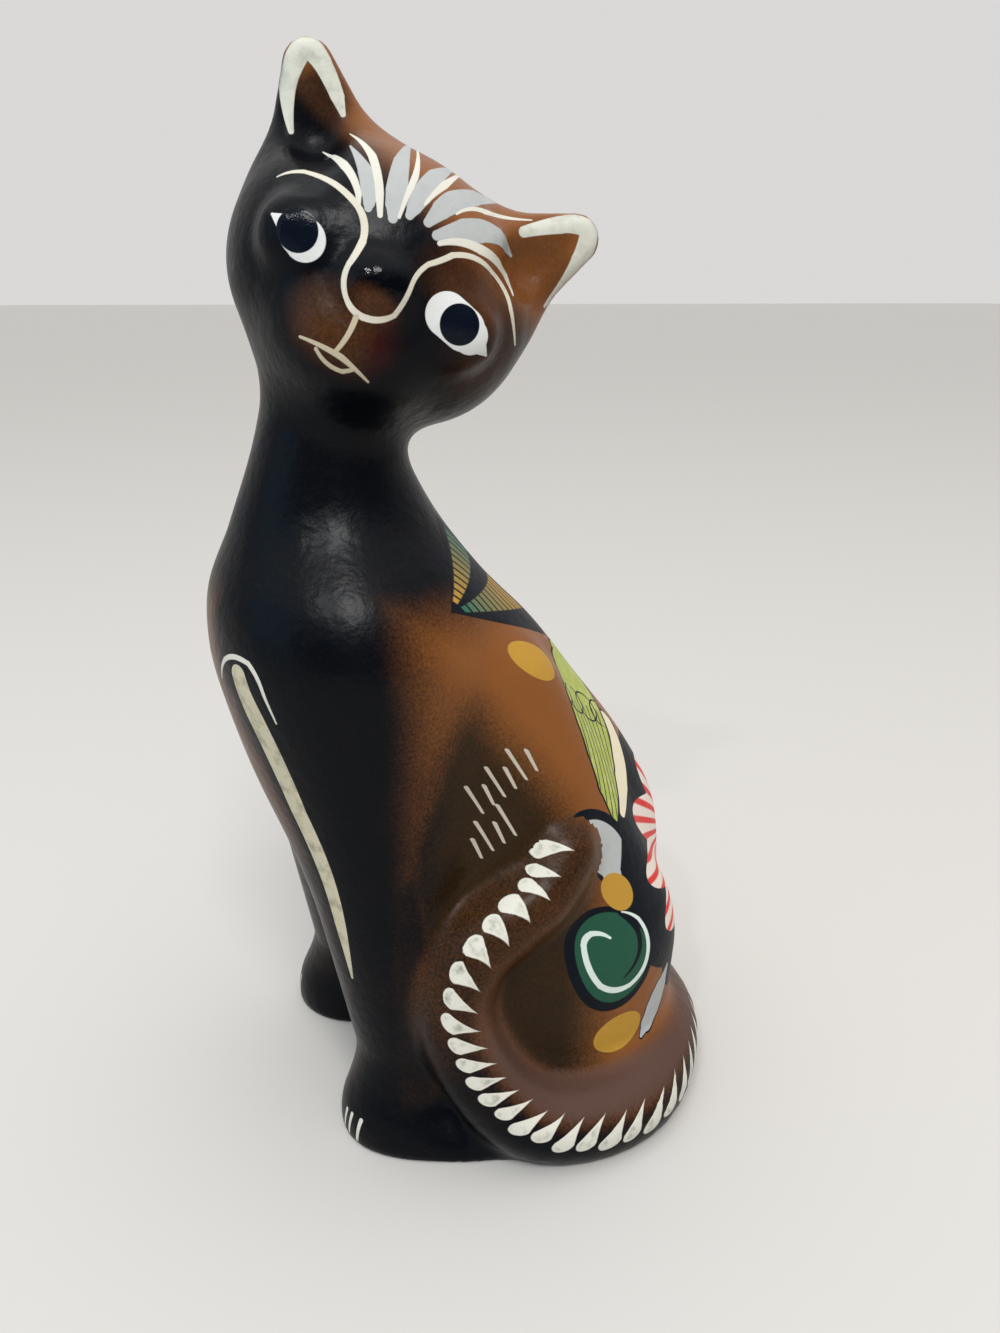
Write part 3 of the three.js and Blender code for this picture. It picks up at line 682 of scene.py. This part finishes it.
# two rows of slanted dabs on the left haunch
DAB_ROWS, DAB_STEP = ((73, 90, 6, (7.6, 5)), (82, 78.5, 4, (5, 7.6))), (-4, 1.7)
DABS = []
for start, foot, count, lengths in DAB_ROWS:
    for k in range(count):
        u, v = start + DAB_STEP[0] * k, foot + DAB_STEP[1] * k
        DABS.append([(u, v, 0.36), (u - 1.6, v + lengths[k % 2], 0.52)])
colour, painted = lay(colour, painted, DAB_BUFF, body_paint.strokes(round_at, *DABS))
body_paint.finish(place, colour, painted)

# The head's brushwork: the tuft of leaf strokes, the brow lines, the ears' edges, mouth and eyes in
# light paint, then the pupils in glossy black. The nose is moulded, and is glossy like the pupils.
BROW_CREAM, EYE_WHITE, PUPIL_BLACK = (0.60, 0.56, 0.46), (0.66, 0.66, 0.64), (0.003, 0.005, 0.011)
EAR_CREAM, EAR_SHOWS_THROUGH, THIN_TUFT_GREY = (0.57, 0.57, 0.49), (0.24, 0.25, 0.21), (0.34, 0.36, 0.35)
FINE_BRUSH = 0.68
head_paint = Paint("painted_head")
place, colour = head_paint.ground(0.5)
fa, fb, fc = head_paint.split(head_paint.stored("face"))
face_at = head_paint.join(fa, fb)
facing = (0.5 - fc).below(2.5)
TUFT_GREY = [
    [(-17.6, 21.6, 0.2), (-13, 19, 1.4), (-9.8, 15.5, 1.8), (-8.6, 12.6, 0.8)],
    [(-8, 30, 0.3), (-7.2, 24, 1.7), (-5, 17.5, 2.2), (-3.6, 13.4, 1)],
    [(2.6, 30.5, 0.3), (0, 25, 1.9), (-0.8, 19.5, 2), (-1, 15.6, 0.9)],
    [(14, 29.5, 0.3), (9, 26.5, 1.8), (4.8, 21.8, 2.3), (2.8, 16.4, 1)],
    [(21.8, 21.1, 0.3), (16.5, 22.2, 1.8), (10.8, 19.6, 2.5), (5.4, 15.1, 1)]]
TUFT_CREAM = [
    [(-22.7, 18.5, 0.2), (-17.5, 17.8, 1.3), (-12.6, 15.2, 1.2), (-10.6, 12.5, 0.6)],
    [(-19.2, 24.2, 0.2), (-13.5, 22.5, 1.2), (-9.2, 18, 1.4), (-6, 12.6, 0.8)],
    [(-6.5, 30, 0.2), (-3.8, 24.5, 1), (-3.2, 19, 1), (-2.6, 14.2, 0.5)],
    [(4.5, 30.5, 0.3), (2.6, 25.5, 1.2), (1.2, 21.5, 0.9), (0.6, 19, 0.3)],
    [(22.3, 30, 0.2), (15.5, 26.5, 0.8), (9.3, 23.8, 0.8), (7, 21, 0.4)],
    [(6.6, 14.1, 0.8), (10, 16.5, 1.3), (16.8, 17.8, 1.5), (22.3, 16.8, 1), (25.5, 13.9, 0.3)]]
BROW = [[
    (-27.4, 9, 0.2), (-23.9, 12.3, 0.6), (-18.7, 13.4, 0.8), (-13.8, 12.8, 0.9), (-10.8, 12, 1.05), (-7.4, 9, 1.15),
    (-6.6, 5.4, 1.1), (-7, 1.6, 0.85), (-6, -2.7, 0.75), (-3.3, -5, 0.9), (-1.1, -5.8, 1.05), (2.1, -5, 1),
    (4.8, -2.9, 0.8), (5.5, 0.3, 0.7), (5.4, 4.3, 0.7), (5.9, 8.5, 0.75), (8.2, 11.2, 0.85), (10.3, 13.8, 0.9),
    (14.2, 15.5, 0.8), (18.2, 15.3, 0.7), (22.6, 14.1, 0.7), (26.7, 10.4, 0.7), (31.1, 5.2, 0.3)]]
EARS = [
    [(-30.2, 18.7, 0.6), (-34.4, 25, 1.8), (-35.6, 31.5, 2.3), (-34.3, 34.8, 2.4), (-29.8, 33, 1.9),
     (-25.6, 30, 1.6), (-22.4, 27, 0.6)],
    [(21.8, 26.8, 1.2), (26.5, 31, 1.8), (31.5, 34.4, 2), (34.6, 34.4, 2.2), (36, 29.5, 2.3),
     (35.5, 22.5, 1.5), (34, 16.1, 0.4)]]
MOUTH = [
    [(-1.3, -6.4, 0.6), (-1.1, -10.1, 0.6), (-1.9, -14.2, 0.45)],
    [(-9.2, -15.2, 0.3), (-3.9, -14.5, 0.62), (0.5, -14.6, 0.62), (6.4, -16.2, 0.25)],
    [(-5.4, -15.6, 0.4), (-2.7, -16.9, 0.5), (0.6, -17, 0.5), (2.6, -15.6, 0.4)]]
EYES = [
    [(-24.1, 2.2, 0.3), (-18.2, 1.6, 3.8), (-16.6, 1.2, 4.2)],
    [(14.3, 3, 4.5), (19.5, 2, 4.2), (25.3, 0.1, 0.3)]]
PUPILS, PUPIL_RADII = ((-18.5, 2), (17.4, 2.6)), (4.1, 4.1)
NOSE_GLOSS = ((0, 0.5), (6, 6))
tuft_grey = head_paint.worn(place, COOL_GREY, THIN_TUFT_GREY, 0.5)
ear_cream = head_paint.worn(place, EAR_CREAM, EAR_SHOWS_THROUGH, 0.5)
brushed, glossy = [], []
for tint, paths, brush in (
        (tuft_grey, TUFT_GREY, 1), (CREAM, TUFT_CREAM, FINE_BRUSH), (BROW_CREAM, BROW, FINE_BRUSH),
        (ear_cream, EARS, 1), (BONE, MOUTH, 1), (EYE_WHITE, EYES, 1)):
    paths = [[(u, v, half * brush) for u, v, half in path] for path in paths]
    brushed.append(head_paint.strokes(face_at, *paths).below() * facing)
    colour = head_paint.mixed(colour, tint, brushed[-1])
for middle in PUPILS:
    glossy.append(head_paint.oval(face_at, middle, PUPIL_RADII).below() * facing)
    colour = head_paint.mixed(colour, PUPIL_BLACK, glossy[-1])
glossy.append(head_paint.oval(face_at, *NOSE_GLOSS).below(2.5) * facing)
head_paint.finish(place, colour, reduce(Wire.most, brushed), reduce(Wire.most, glossy))

# The tail's brushwork: a row of cream drops, each one dab of a loaded brush, round at the outer side
# and drawn out to a bent point over the crest. No two are quite alike, and they wear thin inside.
DROP_PITCH, DROP_HALF, DROPS_FROM, DROPS_TO, DROP_EDGE = 5.6, 2.3, 4, 191, 0.22
WORN_CREAM = (0.17, 0.18, 0.13)
tail_paint = Paint("painted_tail")
place, colour = tail_paint.ground()
run, over, close = tail_paint.split(tail_paint.stored("drops"))
count = run.sum("FLOOR", run / DROP_PITCH)
chance = tail_paint.node("ShaderNodeTexWhiteNoise", {"noise_dimensions": "1D"}, {"W": count}, "Value") - 0.5
over = over + chance * 0.14
held = over.most(0.0).least(1.0)
aside = ((run / DROP_PITCH).part() - 0.5) * DROP_PITCH + chance * 0.5 + held * held * 1.7 - 0.3
beyond = (over - held) * DROP_LENGTH
width = ((1 - held) ** 1.15) * (DROP_HALF + chance * 0.35)
near = (aside * aside + beyond * beyond) ** 0.5 - width
whole = (DROPS_FROM - run).most(close - 2.4).most(run - DROPS_TO)
mask = near.most(whole).below(DROP_EDGE)
thin = tail_paint.worn(place, CREAM, WORN_CREAM, 0.85)
colour = tail_paint.mixed(colour, tail_paint.mixed(CREAM, thin, (near + 0.6).below(0.6)), mask)
tail_paint.finish(place, colour, mask)

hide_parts("cat_figurine")
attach(figurine, "root")

# A pale, level, matt floor that the cat stands on. It is one sheet, a hair below the clay, and large
# enough to run out of view.
FLOOR_HALF, FLOOR_DROP, FLOOR_COLOUR, FLOOR_ROUGHNESS = 40.0, 0.0002, (0.53, 0.51, 0.48, 1), 0.7
floor_mesh = bpy.data.meshes.new("floor")
corners = [(x * FLOOR_HALF, y * FLOOR_HALF, -FLOOR_DROP) for x, y in ((-1, -1), (1, -1), (1, 1), (-1, 1))]
floor_mesh.from_pydata(corners, [], [(0, 1, 2, 3)])
floor = bpy.data.objects.new("floor", floor_mesh)
bpy.context.collection.objects.link(floor)
pale = bpy.data.materials.new("pale_floor")
pale.use_nodes = True
pale_shader = pale.node_tree.nodes["Principled BSDF"]
pale_shader.inputs["Base Color"].default_value = FLOOR_COLOUR
pale_shader.inputs["Roughness"].default_value = FLOOR_ROUGHNESS
floor_mesh.materials.append(pale)

# Soft studio light: pale surroundings behind the cat, dim ones before it and bright ones overhead, with
# one lamp high in front and two small ones for the glints. The picture keeps plain tones.
BEHIND, UP, CAT_MIDDLE = (-0.93, 0.37, 0), (0, 0, 1), (0, 0, 0.13)
DIM, PALE, OVERHEAD = (0.085, 0.105, 0.130), (0.70, 0.69, 0.685), (1.5, 1.5, 1.5)
world = bpy.data.worlds.new("room")
world.use_nodes = True
room = Nodes(world.node_tree)
outward = room.node("ShaderNodeTexCoord")


def share_toward(way, start, end):
    value = room.vector("DOT_PRODUCT", {0: outward, 1: way}, 1)
    limits = {"Value": value, "From Min": start, "From Max": end}
    return room.node("ShaderNodeMapRange", {"interpolation_type": "SMOOTHSTEP"}, limits)


around = room.mixed(DIM, PALE, share_toward(BEHIND, -0.35, 0.45))
around = room.mixed(around, OVERHEAD, share_toward(UP, 0.4, 0.9))
room.links.new(around.socket, room.nodes["Background"].inputs["Color"])
bpy.context.scene.world = world
bpy.context.scene.view_settings.view_transform = "Standard"


def lamp(name, place, size, power, colour=(1, 1, 1)):
    """A square lamp of this size in metres and power in watts, turned to the middle of the cat."""
    light = bpy.data.lights.new(name, "AREA")
    light.size, light.energy, light.color = size, power, colour
    made = bpy.data.objects.new(name, light)
    bpy.context.collection.objects.link(made)
    made.location = place
    toward = np.array(CAT_MIDDLE) - np.array(place)
    tilt = math.acos(-toward[2] / np.linalg.norm(toward))
    made.rotation_euler = (tilt, 0, math.atan2(toward[1], toward[0]) - math.pi / 2)


lamp("window", (1.15, -0.25, 1.55), 0.5, 19)
lamp("ceiling_lamp", (0.55, -0.55, 0.95), 0.05, 1.6)
lamp("fill", (0.10, -1.10, 0.55), 0.8, 2.4, (0.40, 0.72, 1))

# The camera stands at the cat's left front and looks down on it by about twenty degrees, from
# close by, as the photo was taken.
LENS, SENSOR, TILT, AZIMUTH = 27.03, 36, math.radians(20.17), math.radians(68)
CAMERA_AT = (0.22753, -0.08416, 0.204)
camera_data = bpy.data.cameras.new("camera")
camera_data.lens, camera_data.sensor_width = LENS, SENSOR
camera = bpy.data.objects.new("camera", camera_data)
bpy.context.collection.objects.link(camera)
camera.location = CAMERA_AT
camera.rotation_euler = (math.pi / 2 - TILT, 0, AZIMUTH)
bpy.context.scene.camera = camera
